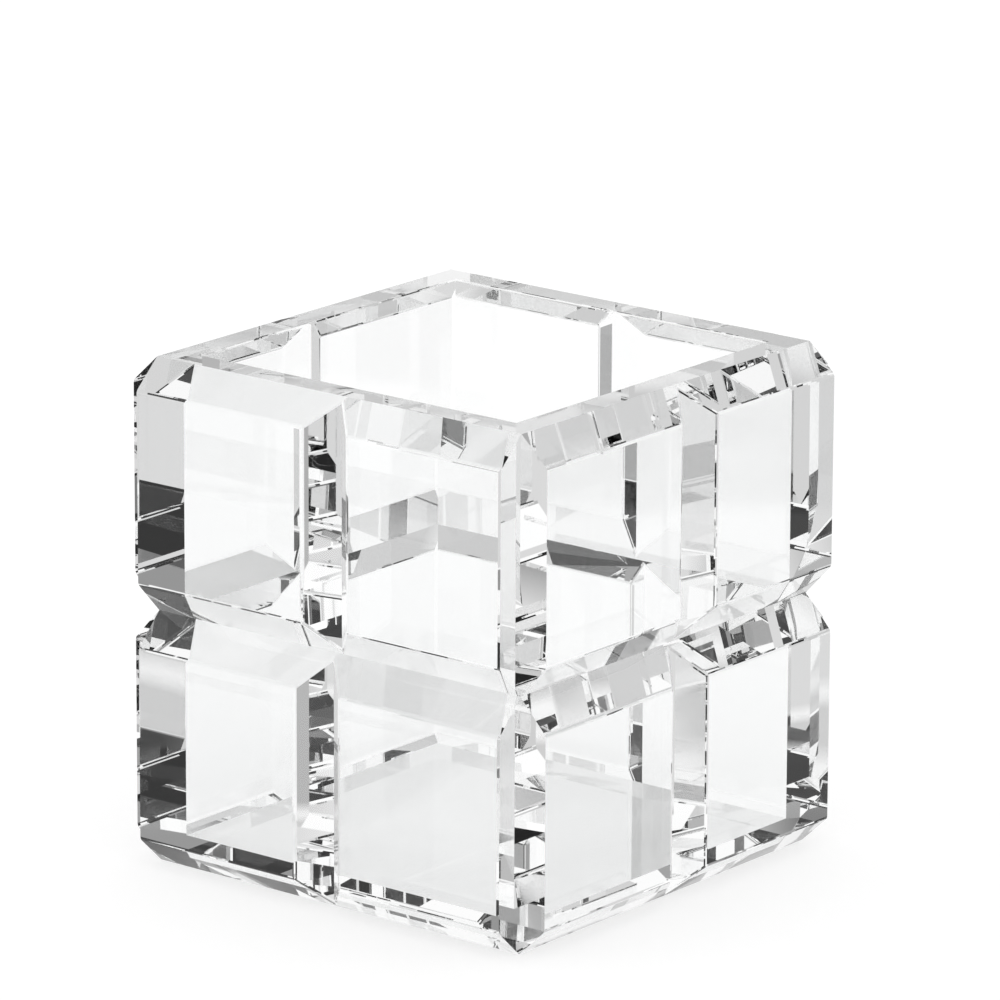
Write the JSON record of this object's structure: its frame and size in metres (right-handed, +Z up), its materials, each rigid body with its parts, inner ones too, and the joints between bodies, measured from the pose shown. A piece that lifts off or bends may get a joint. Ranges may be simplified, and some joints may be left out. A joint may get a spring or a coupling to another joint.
{
  "type": "cotton pad holder",
  "caption": "Open cube of thick clear acrylic: a plain bonded box inside, with bevelled and grooved panels on its outer faces, that holds a stack of round cotton pads.",
  "frame": {"origin": "centre of the underside, on the surface that the holder stands on", "axes": "+Z up through the open top; -Y is the front face, +X the right face"},
  "size_m": [0.1, 0.1, 0.1],
  "materials": {
    "base_acrylic": "clear acrylic plate, polished",
    "wall_acrylic": "clear acrylic sheet, polished",
    "panel_acrylic": "clear acrylic, diamond-polished slopes and grooves"
  },
  "bodies": {
    "root": {"base_plate": "base_acrylic", "wall_front": "wall_acrylic", "wall_right": "wall_acrylic", "wall_back": "wall_acrylic", "wall_left": "wall_acrylic", "panel_front_upper": "panel_acrylic", "panel_right_upper": "panel_acrylic", "panel_back_upper": "panel_acrylic", "panel_left_upper": "panel_acrylic", "panel_front_lower": "panel_acrylic", "panel_right_lower": "panel_acrylic", "panel_back_lower": "panel_acrylic", "panel_left_lower": "panel_acrylic"}
  },
  "joints": []
}
